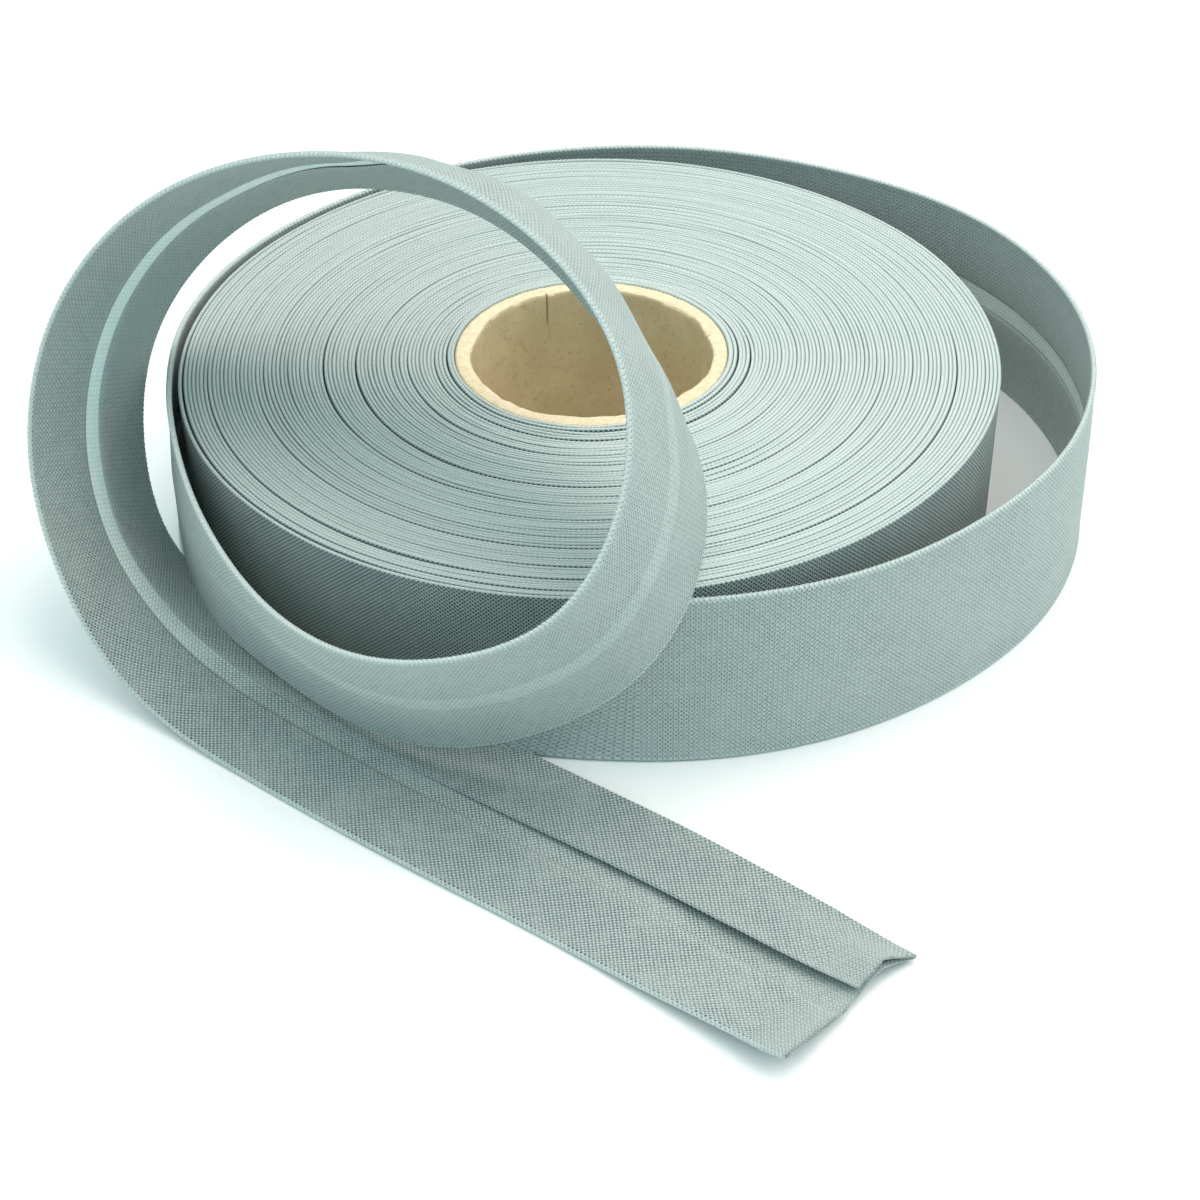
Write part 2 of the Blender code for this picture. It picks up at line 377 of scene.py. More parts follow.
    lift = top_thread
    for part, share in ((crossing, 0.25), (slub, 0.3), (fuzz, 0.3)):
        lift = add_node(tree, "Math", MULTIPLY_ADD, i0=part, i1=share, i2=lift)
    bump = add_node(tree, "Bump", Height=lift, Strength=0.7, Distance=0.14 * MM)
    tree.links.new(bump, shader.inputs["Normal"])
    shader.inputs["Roughness"].default_value = 0.9
    shader.inputs["Specular IOR Level"].default_value = 0.25
    shader.inputs["Sheen Weight"].default_value = 0.25
    shader.inputs["Sheen Roughness"].default_value = 0.5
    shader.inputs["Sheen Tint"].default_value = linear(0xEAF4F2)
    return material


def cloth_material(context):
    """The one cotton that all the pieces of binding are made of."""
    found = bpy.data.materials.get("plain_weave_bias_cotton")
    return found or dyed_cotton(context.scene.binding_sizes, context.scene.binding_colours)


def kraft_wall():
    """Kraft board, spirally wound and glued: brown and matt, clouded over about 7 mm, with
    darker fibres about 1 mm long and specks about 2 mm apart."""
    material, tree, shader = new_material("spiral_wound_kraft_board")
    place = add_node(tree, "TexCoord", out="Object")
    fibre = add_node(tree, "TexNoise", Vector=place, Scale=0.9 / MM, Detail=4.0, Roughness=0.65)
    cloud = add_node(tree, "TexNoise", Vector=place, Scale=0.14 / MM, Detail=3.0)
    specks = add_node(tree, "TexVoronoi", out="Distance", Vector=place, Scale=0.52 / MM,
                      Randomness=1.0)
    body = linear(0xC2B18C)
    for mark, low, high, at_low, at_high, toward in (
            (cloud, 0.3, 0.7, 0.0, 1.0, 0xCEBD99), (fibre, 0.5, 0.75, 0.0, 0.6, 0xA69470),
            (specks, 0.05, 0.15, 0.45, 0.0, 0x6E5A3A)):
        share = add_node(tree, "MapRange", SMOOTH_STEP, Value=mark, From_Min=low,
                         From_Max=high, To_Min=at_low, To_Max=at_high)
        body = add_node(tree, "Mix", COLOUR_MIX, out=MIXED, i0=share, i6=body,
                        i7=linear(toward))
    tree.links.new(body, shader.inputs["Base Color"])
    bump = add_node(tree, "Bump", Height=fibre, Strength=0.3, Distance=0.1 * MM)
    tree.links.new(bump, shader.inputs["Normal"])
    shader.inputs["Roughness"].default_value = 0.85
    shader.inputs["Specular IOR Level"].default_value = 0.3
    return material


def sawn_board():
    """The same board where it was cut to length: pale, fuzzy torn fibre with six faint plies."""
    material, tree, shader = new_material("sawn_kraft_board_edge")
    place = add_node(tree, "TexCoord", out="Object")
    fibre = add_node(tree, "TexNoise", Vector=place, Scale=1.1 / MM, Detail=4.0, Roughness=0.7)
    ply = add_node(tree, "Attribute", {"attribute_name": "ply"}, out="Fac")
    turn = add_node(tree, "Math", MULTIPLY, i0=ply, i1=FULL_TURN * 6)
    wave = add_node(tree, "Math", SINE, i0=turn)
    body = linear(0xF0E0C2)
    for mark, low, high, at_high, toward in (
            (fibre, 0.3, 0.75, 1.0, 0xDAC7A2), (wave, 0.5, 1.0, 0.22, 0x9C8258)):
        share = add_node(tree, "MapRange", SMOOTH_STEP, Value=mark, From_Min=low,
                         From_Max=high, To_Min=0.0, To_Max=at_high)
        body = add_node(tree, "Mix", COLOUR_MIX, out=MIXED, i0=share, i6=body,
                        i7=linear(toward))
    tree.links.new(body, shader.inputs["Base Color"])
    bump = add_node(tree, "Bump", Height=fibre, Strength=0.5, Distance=0.15 * MM)
    tree.links.new(bump, shader.inputs["Normal"])
    shader.inputs["Roughness"].default_value = 0.95
    shader.inputs["Specular IOR Level"].default_value = 0.2
    return material


def painted_floor(colours):
    """Matt white laminate: no pattern shows, only soft shadows."""
    material, _, shader = new_material("matt_white_laminate")
    shader.inputs["Base Color"].default_value = linear(colours.floor)
    shader.inputs["Roughness"].default_value = 0.8
    shader.inputs["Specular IOR Level"].default_value = 0.1
    return material


# ---------------------------------------------------------------- geometry

def smooth_through(rows, spacing):
    """Evenly spaced points on the natural cubic curve through the rows' points."""
    rows = np.array(rows, dtype=float)
    steps = np.linalg.norm(np.diff(rows[:, :3], axis=0), axis=1)
    knots = np.concatenate(([0.0], np.cumsum(steps)))
    count = len(rows)
    system = np.zeros((count, count))
    right = np.zeros((count, rows.shape[1]))
    system[0, 0] = system[-1, -1] = 1.0
    for i in range(1, count - 1):
        before, after = steps[i - 1], steps[i]
        system[i, i - 1:i + 2] = before, 2.0 * (before + after), after
        right[i] = 6.0 * ((rows[i + 1] - rows[i]) / after - (rows[i] - rows[i - 1]) / before)
    bends = np.linalg.solve(system, right)
    places = np.linspace(0.0, knots[-1], int(round(knots[-1] / spacing)) + 1)
    spans = np.clip(np.searchsorted(knots, places, side="right") - 1, 0, count - 2)
    length = steps[spans][:, None]
    far = (places - knots[spans])[:, None] / length
    near = 1.0 - far
    return (near * rows[spans] + far * rows[spans + 1]
            + ((near ** 3 - near) * bends[spans]
               + (far ** 3 - far) * bends[spans + 1]) * length ** 2 / 6.0)


def drift(values, seed, count=7, reach=1.0):
    """Smooth wandering between about -1 and 1, from a few waves of seeded lengths."""
    maker = np.random.RandomState(seed)
    values = np.asarray(values, dtype=float)
    total = np.zeros_like(values)
    for _ in range(count):
        total += np.sin(values * maker.uniform(0.35, 1.9) * reach + maker.uniform(0.0, 2 * math.pi))
    return total / math.sqrt(count / 2.0) / 1.4


def table_column(table, column, at):
    """Smoothly reads one column of a short table of rows."""
    table = np.array(table, dtype=float)
    at = np.clip(at, table[0, 0], table[-1, 0])
    right = np.clip(np.searchsorted(table[:, 0], at, side="right"), 1, len(table) - 1)
    low, high = table[right - 1], table[right]
    share = (at - low[..., 0]) / (high[..., 0] - low[..., 0])
    share = share * share * (3.0 - 2.0 * share)
    return low[..., column] * (1.0 - share) + high[..., column] * share


def unit(vectors):
    return vectors / np.linalg.norm(vectors, axis=-1, keepdims=True)


def ease(value, low, high):
    """Rises smoothly from 0 at low to 1 at high."""
    share = np.clip((value - low) / (high - low), 0.0, 1.0)
    return share * share * (3.0 - 2.0 * share)


def round_axis(radius, angle, z):
    """Points at a distance from the roll's axis, in a direction, at a height."""
    return np.stack((AXIS_X + radius * np.cos(angle), AXIS_Y + radius * np.sin(angle), z), axis=1)


def mesh_from_corners(name, coords, corners, starts):
    """A smooth mesh from points in metres, the points of its faces one after the other,
    and where each face starts among them."""
    mesh = bpy.data.meshes.new(name)
    mesh.vertices.add(len(coords))
    mesh.vertices.foreach_set("co", coords.astype(np.float32).ravel())
    mesh.loops.add(len(corners))
    mesh.loops.foreach_set("vertex_index", corners.astype(np.int32))
    mesh.polygons.add(len(starts))
    mesh.polygons.foreach_set("loop_start", starts.astype(np.int32))
    mesh.update(calc_edges=True)
    mesh.polygons.foreach_set("use_smooth", np.ones(len(starts), dtype=bool))
    return mesh


def mark_points(mesh, mark, values):
    """Stores a number at each point, for a material to read by name."""
    attribute = mesh.attributes.new(mark, "FLOAT", "POINT")
    attribute.data.foreach_set("value", values.astype(np.float32).ravel())


def add_body(name, mesh, material):
    mesh.materials.append(material)
    mesh.validate()
    body = bpy.data.objects.new(name, mesh)
    bpy.context.scene.collection.objects.link(body)
    return body


def weld(body):
    """Joins points that lie in the same place, and turns all faces outward."""
    mesh = bmesh.new()
    mesh.from_mesh(body.data)
    bmesh.ops.remove_doubles(mesh, verts=mesh.verts, dist=SAME_PLACE)
    bmesh.ops.recalc_face_normals(mesh, faces=mesh.faces)
    mesh.to_mesh(body.data)
    mesh.free()


def swept_mesh(name, points, across, along, material, closed_ends=True, marks=None):
    """A mesh from outlines: points is stations x outline x 3 in millimetres. along holds the
    place of each station, and across the unfolded place of each outline point, with one
    more to close it."""
    stations, size = points.shape[:2]
    station = np.arange(stations - 1)[:, None] * size
    point = np.arange(size)[None, :]
    beside = (point + 1) % size
    quads = np.stack((station + point, station + size + point, station + size + beside,
                      station + beside), axis=-1).reshape(-1, 4)
    corners, starts = quads.ravel(), np.arange(len(quads)) * 4

    u = np.broadcast_to(along[:, None], (stations, size + 1))
    v = np.broadcast_to(across, (stations, size + 1))
    here, there = slice(None, -1), slice(1, None)
    flat = np.stack([np.stack((u[row, column], v[row, column]), -1) for row, column in (
        (here, here), (there, here), (there, there), (here, there))], axis=2).reshape(-1, 2)

    if closed_ends:
        first, last = np.arange(size), np.arange(size)[::-1] + (stations - 1) * size
        corners = np.concatenate((corners, first, last))
        starts = np.concatenate((starts, [quads.size, quads.size + size]))
        flat = np.concatenate((flat, np.stack((u[0, :size], v[0, :size]), -1),
                               np.stack((u[-1, :size], v[-1, :size]), -1)[::-1]))
    mesh = mesh_from_corners(name, points.reshape(-1, 3) * MM, corners, starts)
    mesh.uv_layers.new(name="cloth").data.foreach_set("uv", flat.astype(np.float32).ravel())
    for mark, values in (marks or {}).items():
        mark_points(mesh, mark, values)
    return add_body(name, mesh, material)


def read_along(rows, places, at):
    """Reads rows of three numbers, given at rising places, at other places."""
    return np.stack([np.interp(at, places, rows[:, k]) for k in range(3)], -1)


def thread_beads(name, rows, pitch, material):
    """Short crescent-shaped threads that lie slantwise round a fold or a cut edge.
    A row holds middle points, outward and face directions, their places, the radius of the
    fold, the thread's radius, and the first and last place of the stretch."""
    turns = np.radians((-62.0, -25.0, 25.0, 62.0))   # rings of the thread, round the fold
    plump = (0.75, 1.0, 1.0, 0.75)                   # how full the thread is at each ring
    tips = np.radians((-88.0, 88.0))
    spokes = np.radians((45.0, 135.0, 225.0, 315.0))
    lean = 0.35 * pitch                              # how far a thread slants along the fold
    coords = []
    for seed, (middle, out, side, place, fold, thick, first, last) in enumerate(rows):
        at = np.arange(first + pitch, last - pitch * 0.5, pitch)
        jitter = np.random.RandomState(50 + seed).uniform(-1.0, 1.0, (2, len(at)))
        at = at + 0.08 * pitch * jitter[0]
        base, out = read_along(middle, place, at), unit(read_along(out, place, at))
        run = unit(read_along(np.gradient(middle, axis=0), place, at))
        normal = np.cross(out, run)
        facing = np.sign(np.sum(normal * read_along(side, place, at), axis=1))
        side = unit(normal) * facing[:, None]
        thick = thick * (1.0 + 0.25 * jitter[1])[:, None]
        bead = []
        for turn in tips:
            away = out * math.cos(turn) + side * math.sin(turn)
            bead.append(base + fold * away + run * lean * turn)
        for turn, share in zip(turns, plump):
            away = out * math.cos(turn) + side * math.sin(turn)
            centre = base + fold * away + run * lean * turn
            for spoke in spokes:
                spread = away * math.cos(spoke) + run * math.sin(spoke)
                bead.append(centre + thick * share * spread)
        coords.append(np.stack(bead, axis=1).reshape(-1, 3))
    coords = np.concatenate(coords) * MM

    # each bead has two tips, points 0 and 1, then four rings of four points from 2 on
    size = 2 + len(turns) * len(spokes)
    quads = [(ring + k, ring + (k + 1) % 4, ring + 4 + (k + 1) % 4, ring + 4 + k)
             for ring in (2, 6, 10) for k in range(4)]
    ends = [(0, 2 + (k + 1) % 4, 2 + k) for k in range(4)]
    ends += [(1, 14 + k, 14 + (k + 1) % 4) for k in range(4)]
    bead_start = np.arange(len(coords) // size)[:, None, None] * size
    quads = (bead_start + np.array(quads)).reshape(-1)
    ends = (bead_start + np.array(ends)).reshape(-1)
    starts = np.concatenate((np.arange(0, len(quads), 4), len(quads) + np.arange(0, len(ends), 3)))
    mesh = mesh_from_corners(name, coords, np.concatenate((quads, ends)), starts)
    # the threads are lightened like the folds: fluffed thread and painted highlight
    mark_points(mesh, "fold_nap_and_light", np.ones(len(coords)))
    mesh.uv_layers.new(name="cloth")
    body = add_body(name, mesh, material)
    weld(body)
    return body


# ---------------------------------------------------------------- pieces

class OBJECT_OT_add_cardboard_core(bpy.types.Operator):
    """Add the cardboard core, with its sawn upper rim and two splits"""

    bl_idname = "object.add_cardboard_core"
    bl_label = "Cardboard Core"

    SPLITS = ((112.0, 5.5, 0.7), (13.0, 3.2, 0.45))   # angle in degrees, length and depth in mm
    SPLIT_EDGES = (-0.55, -0.4, -0.2, 0.0, 0.2, 0.4, 0.55)
    RIM = 0.8                                         # mm down from the top that are ragged

    def execute(self, context):
        sizes = context.scene.binding_sizes
        outer, wall = sizes.core_radius, sizes.core_wall
        height = (CORE_HIGH.z - CORE_LOW.z) / MM
        angles = np.linspace(0.0, 360.0, 240, endpoint=False)
        for angle, _, _ in self.SPLITS:
            angles = np.concatenate((angles, angle + np.array(self.SPLIT_EDGES)))
        angles = np.unique(angles.round(3))
        turn = np.radians(angles)
        # outline: share of the wall from the inside, and height
        outline = [(0.0, height * share)
                   for share in (0.03, 0.25, 0.45, 0.6, 0.7, 0.78, 0.85, 0.91, 0.955)]
        outline += [(0.0, height - 0.55), (0.07, height - 0.12), (0.22, height),
                    (0.42, height - 0.04), (0.62, height), (0.82, height - 0.05),
                    (0.95, height - 0.2), (1.0, height - 0.6), (1.0, height * 0.5), (1.0, 0.4),
                    (0.9, 0.0), (0.5, 0.0), (0.1, 0.0)]
        rough = drift(turn * 9.0, 3, 9, 2.0) * 0.5 + drift(turn * 30.0, 4, 9, 2.0) * 0.5
        wobble = (0.16 * np.cos(turn * 3.0 + 0.7) + 0.14 * np.cos(turn * 7.0 + 2.0)
                  + 0.08 * np.cos(turn * 12.0))
        points = np.zeros((len(angles), len(outline), 3))
        ply = np.zeros((len(angles), len(outline)))
        for column, (share, level) in enumerate(outline):
            radius = outer - wall * (1.0 - share) + (1.0 - share) * wobble
            near_rim = max(0.0, 1.0 - abs(level - height) / self.RIM)
            if share < 0.3:
                radius = radius + near_rim * rough * 0.16
                for angle, length, depth in self.SPLITS:
                    away = np.abs((angles - angle + 180.0) % 360.0 - 180.0)
                    inside = np.clip(1.0 - away / 0.5, 0.0, 1.0)
                    reach = min(1.0, max(0.0, (level - (height - length)) / 1.2))
                    radius = radius + inside * reach * depth
            z = level + near_rim * drift(turn * 14.0, 11 + column, 7, 2.0) * 0.07
            points[:, column] = round_axis(radius, turn, np.clip(z, 0.0, height + 0.1))
            ply[:, column] = share
        points, ply = (np.concatenate((rows, rows[:1])) for rows in (points, ply))
        along = np.radians(np.append(angles, angles[0] + 360.0)) * outer
        core = swept_mesh("cardboard_core", points[:, ::-1], np.arange(len(outline) + 1.0), along,
                          kraft_wall(), closed_ends=False, marks={"ply": ply[:, ::-1]})
        core.data.materials.append(sawn_board())
        weld(core)
        for polygon in core.data.polygons:
            if abs(polygon.normal.z) > 0.45 and polygon.center.z > (height - 0.7) * MM:
                polygon.material_index = 1
        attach(core, "root")
        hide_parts("core_tube")
        return {"FINISHED"}


class OBJECT_OT_add_wound_turns(bpy.types.Operator):
    """Add the tight turns of folded binding, as one spiral of folded edges"""

    bl_idname = "object.add_wound_turns"
    bl_label = "Wound Turns"

    SEGMENTS = 200                          # stations in one turn
    EXIT = math.radians(268.0)              # where the last turn leaves the roll
    # outline of one folded turn: place across its thickness, share of its height, and
    # unfolded place in millimetres
    OUTLINE = (
        (-0.50, 0.02, -14.5), (0.0, 0.0, -15.2), (0.50, 0.02, -15.9), (0.50, 0.991, 14.4),
        (0.38, 0.998, 14.7), (0.0, 1.0, 15.1), (-0.38, 0.998, 15.5), (-0.50, 0.991, 15.8),
    )
    FOOT_ROUND = 0.3                        # height of the rounding at the foot, in millimetres

    def execute(self, context):
        sizes = context.scene.binding_sizes
        cotton = cloth_material(context)
        inner = sizes.core_radius + 0.35
        outer = sizes.roll_radius - 0.3
        pitch = (outer - inner) / sizes.turns
        thick = pitch * 0.95
        end = self.EXIT + FULL_TURN * sizes.turns
        # the strip starts with one turn more, pressed against the core
        phi = np.linspace(self.EXIT - FULL_TURN, end, (sizes.turns + 1) * self.SEGMENTS + 1)
        angle = phi % FULL_TURN
        radius = inner + pitch * np.maximum(phi - self.EXIT, 0.0) / FULL_TURN
        along = np.concatenate(([0.0], np.cumsum(np.diff(phi) * radius[1:])))
        high = (sizes.width + table_column(UPPER_FACE, 1, radius)
                + 0.08 * drift(phi, 23, 11, 1.3) + 0.05 * drift(phi, 24, 11, 6.0))
        wander, beside_gap = self.gaps(phi, end, inner, pitch)
        radius = radius + wander
        foot = self.foot_lift(radius, np.degrees(angle))
        taper = 0.7 * (radius / outer) ** 10      # the outer turns lean in towards the table

        points = np.zeros((len(phi), len(self.OUTLINE), 3))
        for column, (side, rise, _) in enumerate(self.OUTLINE):
            shoulder = 0.0 < rise < 0.1
            z = foot + (self.FOOT_ROUND if shoulder else (high - foot) * rise)
            points[:, column] = round_axis(radius + side * thick - taper * (1.0 - rise), angle, z)
        across = np.array([unfolded for _, _, unfolded in self.OUTLINE])
        across = np.append(across, across[-1] + 30.0)
        last = phi > end - FULL_TURN
        marks = self.cloth_marks(phi, last, beside_gap)
        cut = len(phi) * 6 // 10
        for name, part in (("wound_turns_inner", slice(0, cut + 1)),
                           ("wound_turns_outer", slice(cut, None))):
            turns = swept_mesh(name, points[part], across, along[part], cotton,
                               marks={mark: values[part] for mark, values in marks.items()})
            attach(turns, "root")
            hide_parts("wound_roll")

        rim, places = points[last], along[last]
        crown = rim[:, 5] - np.array((0.0, 0.0, thick * 0.5))
        up = np.repeat(np.array(((0.0, 0.0, 1.0),)), len(crown), axis=0)
        threads = thread_beads("rim_threads", [(crown, up, rim[:, 3] - rim[:, 7], places,
                                                thick * 0.5, 0.13, places[0], places[-1])],
                               sizes.thread * math.sqrt(2.0), cotton)
        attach(threads, "root")
        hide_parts("wound_roll")
        return {"FINISHED"}

    def gaps(self, phi, end, inner, pitch):
        """How far the turns stray from an even spiral, and how open the grooves on the outer
        and the inner side of each turn are where it stands apart from its neighbour."""
        degrees = np.degrees(phi % FULL_TURN)
        calm = np.clip((end - phi) / 3.0, 0.0, 1.0) * np.clip((phi - self.EXIT) / 3.0, 0.0, 1.0)
        wander = (0.035 * drift(phi, 21, 11, 1.0) + 0.015 * drift(phi, 22, 11, 5.0)) * calm
        beside_gap = np.zeros((2, len(phi)))
        for where, middle, half, gap in OPEN_TURNS:
            away = np.abs((degrees - middle + 180.0) % 360.0 - 180.0)
            window = np.clip(1.0 - (away / half) ** 2, 0.0, 1.0) ** 1.5
            # turns are counted from the side opposite the gap, where it is closed
            opposite = math.radians(middle + 180.0)
            gap_at = self.EXIT + FULL_TURN * (where - inner) / pitch
            after = (np.floor((phi - opposite) / FULL_TURN)
                     - math.floor((gap_at - opposite) / FULL_TURN))
            # the turns outside a gap are pushed out, less and less with each one
            wander += np.where(after >= 0, gap * np.exp(-after * 0.22), 0.0) * window
            open_share = np.clip(gap * 4.0, 0.0, 1.0) * np.clip(window * 3.0, 0.0, 1.0)
            for row, which in ((0, -1), (1, 0)):
                here = np.where(after == which, open_share, 0.0)
                beside_gap[row] = np.maximum(beside_gap[row], here)
        return wander, beside_gap

    def cloth_marks(self, phi, last, beside_gap):
        """What the cotton shows at each point: how much thread stands proud on the fold, with
        painted light and shade on it, how much painted shade lies in the groove beside each turn,
        and how open the weave looks."""
        front, left = 0.5 - 0.5 * np.sin(phi), 0.5 - 0.5 * np.cos(phi)
        size = (len(phi), len(self.OUTLINE))
        # painted light and shade on the folds: lighter towards the front, and painted shade on the
        # left, where the loop's shadow falls
        fold_light = np.zeros(size)
        fold_light[:, 3:8] = (0.72 + 0.20 * front ** 2 - 0.30 * left ** 2)[:, None]
        fold_light[last, 3] = 0.0
        # painted shade in the grooves: faint for most, darker in stretches and towards the front,
        # and dark wherever a turn stands apart
        stretches = np.clip(0.7 * drift(phi, 26, 11, 1.6) + 0.5 * drift(phi, 27, 9, 7.0), 0.0, 1.0)
        shade = np.clip(0.04 + 0.72 * front ** 2 + (0.20 + 0.80 * front) * stretches, 0.0, 1.0)
        groove_shade = np.zeros(size)
        for columns, row in (((2, 3), 0), ((0, 7), 1)):
            groove_shade[:, columns] = np.maximum(shade, beside_gap[row])[:, None]
        groove_shade[:, (4, 6)] = 0.18 * shade[:, None]
        # painted shade on the roll's outer wall, below its rim
        groove_shade[last, 2:5] = 0.2, 0.2, 0.0
        # the last turn's outer face shows its weave from rim to foot, its pinholes deep enough to
        # paint shade over the wall
        openness = np.full(size, 0.45)
        openness[last, 1:4] = 1.3
        return {"fold_nap_and_light": fold_light, "groove_shade": groove_shade, "open_weave": openness}

    @staticmethod
    def foot_lift(radius, degrees):
        """The feet of the outer turns stand over the end that is tucked under them."""
        window = ease(degrees, 188.0, 201.0) * (1.0 - ease(degrees, 263.0, 276.0))
        return 2.5 * window * ease(radius, 49.0, 56.0)


def strip_route(spacing):
    """The strip's middle line, and its width, face and running directions along it."""
    rows = []
    for angle, radius in LOOSE_TURN:
        turn = math.radians(angle)
        rows.append((radius * math.cos(turn), radius * math.sin(turn), LOOSE_TURN_HEIGHT,
                     0.0, 0.0, 1.0))
    for x, y, z, lean, bearing in FREE_STRIP:
        lean, bearing = math.radians(lean), math.radians(bearing)
        rows.append((x, y, z, math.sin(lean) * math.cos(bearing),
                     math.sin(lean) * math.sin(bearing), math.cos(lean)))
    stations = smooth_through(rows, spacing)
    middle, width = stations[:, :3] + np.array((AXIS_X, AXIS_Y, 0.0)), stations[:, 3:]
    along = np.gradient(middle, axis=0)
    along /= np.linalg.norm(along, axis=1)[:, None]
    width = width - along * np.sum(width * along, axis=1)[:, None]
    width /= np.linalg.norm(width, axis=1)[:, None]
    run = np.concatenate(([0.0], np.cumsum(np.linalg.norm(np.diff(middle, axis=0), axis=1))))
    return middle, width, np.cross(along, width), along, run


class OBJECT_OT_add_loose_binding(bpy.types.Operator):
    """Add the loose turn, standing loop and laid-out end as one folded sheet of cloth"""

    bl_idname = "object.add_loose_binding"
    bl_label = "Loose Binding"

    SPACING = 1.5                                # millimetres between stations

    def execute(self, context):
        sizes = context.scene.binding_sizes
        route = strip_route(self.SPACING)
        run = route[-1]
        centre, flat = self.layer_line(sizes)
        place, height = self.shape_layer(sizes, centre, flat, run)
        section, unfolded = self.thicken(sizes, place, height, flat)
        sheet = swept_mesh("loose_binding_cloth", self.lay_out(route, section, unfolded),
                           np.append(unfolded, unfolded[0]), run, cloth_material(context),
                           marks=self.cloth_marks(sizes, unfolded, run))
        layer = self.lay_out(route, np.stack((place, height), -1), flat)
        threads = self.edge_threads(context, layer, run)
        for piece in (sheet, threads):
            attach(piece, "root")
            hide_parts("loose_binding")
        return {"FINISHED"}

    @staticmethod
    def layer_line(sizes):
        """Middle of the one layer of cloth, from raw edge to raw edge round both folds:
        place across and height to the face side, and the unfolded place of each point."""
        half = sizes.width / 2.0
        bend = (sizes.fold_depth - sizes.cloth) / 2.0
        pressed = sizes.cloth * 0.55
        edge = half - bend - sizes.cloth / 2.0
        gap = sizes.edge_gap / 2.0

        def apart(from_fold):
            """Layers lie pressed together, and part towards the fold."""
            return pressed + (bend - pressed) * math.exp(-(from_fold / 0.8) ** 2)

        line = []
        for share in (0.0, 0.05, 0.14, 0.26, 0.4, 0.55, 0.7, 0.82, 0.9, 0.95, 0.98):
            x = gap + share * (edge - gap)
            line.append((-x, -apart(edge - x)))
        for turn in np.radians((90.0, 60.0, 20.0, -20.0, -60.0, -90.0)):
            line.append((-edge - bend * math.cos(turn), -bend * math.sin(turn)))
        for share in (0.98, 0.95, 0.9, 0.78, 0.62, 0.45, 0.3, 0.2):
            line.append((-edge * share, apart(edge * (1.0 - share))))
        line += [(-gap - 0.12, pressed), (-gap + 0.12, pressed), (-gap * 0.4, pressed)]
        line.append((0.0, pressed))
        line += [(-x, y) for x, y in reversed(line[:-1])]
        line = np.array(line)
        steps = np.linalg.norm(np.diff(line, axis=0), axis=1)
        flat = np.concatenate(([0.0], np.cumsum(steps)))
        return line, flat - flat[-1] / 2.0

    @staticmethod
    def shape_layer(sizes, centre, flat, run):
        """The cloth's middle surface, station by station: place across, and height to the
        face side. It bows, creases, lifts its raw edges and ends in a hump."""
        half = sizes.width / 2.0
        bow, crease, upper_lift, foot_lift, foot_arch = (
            table_column(STRIP_SHAPE, column, run)[:, None] for column in (1, 2, 3, 4, 5))
        place = np.repeat(centre[None, :, 0], len(run), axis=0)
        height = np.repeat(centre[None, :, 1], len(run), axis=0)
        share = place / half
        height += bow * (1.0 - share ** 2) + crease * (1.0 - np.abs(share)) ** 1.3

        # raw runs from 0 at a fold to 1 at the raw edge of its flap
        flap = np.abs(flat[None, :]) > half
        raw = (np.abs(flat[None, :]) - half) / (half - sizes.edge_gap / 2.0)
        raw = np.clip(raw, 0.0, 1.0) * flap
        upper = flat[None, :] > 0.0
        ripple = 1.0 + 0.30 * drift(run / 16.0, 31, 9, 1.0)[:, None]
        height -= np.where(upper, upper_lift, foot_lift) * raw ** 3.0 * ripple
        # where a raw edge is pressed flat it sinks on to the layer under it
        from_edge = np.abs(flat[0]) - np.abs(flat)
        height += 0.10 * flap * np.clip(1.0 - from_edge / 1.5, 0.0, 1.0)
        height -= foot_arch * ~upper * np.sin(math.pi * np.clip(raw * 1.05, 0.0, 1.0)) ** 1.5

        # slack that the layers hold between them
        puff = 0.08 * drift(run[:, None] / 21.0 + flat[None, :] / 9.0, 32, 9, 1.0)
        puff += 0.04 * drift(run[:, None] / 6.0 - flat[None, :] / 4.0, 33, 9, 1.0)
        height += puff * np.clip(1.0 - share ** 2, 0.0, 1.0)
        waver = 0.10 * drift(run / 13.0, 34, 9, 1.0)[:, None]
        place = place + waver * np.sign(share) * np.abs(share) ** 3

        # the cut end: the far side humps up, the far fold narrows, and the raw corner pulls back
        ending = ease(run, run[-1] - 26.0, run[-1])[:, None]
        height -= 1.5 * ending * np.exp(-((place + 8.5) / 3.8) ** 2)
        place = place + 1.3 * ending ** 2 - 1.4 * ending ** 3 * raw ** 2 * ~upper
        return place, height

    @staticmethod
    def thicken(sizes, place, height, flat):
        """The sections of the cloth, to both sides of its middle surface, thinner where a cut
        edge is pressed flat, and the unfolded place of each point."""
        step_place, step_height = np.gradient(place, axis=1), np.gradient(height, axis=1)
        length = np.hypot(step_place, step_height)
        out_place, out_height = -step_height / length, step_place / length
        from_edge = np.abs(flat[0]) - np.abs(flat)
        t = sizes.cloth / 2.0 * (0.35 + 0.65 * np.clip(from_edge / 0.9, 0.0, 1.0))
        outer = np.stack((place + t * out_place, height + t * out_height), -1)
        inner = np.stack((place - t * out_place, height - t * out_height), -1)
        return np.concatenate((outer, inner[:, ::-1]), axis=1), np.concatenate((flat, flat[::-1]))

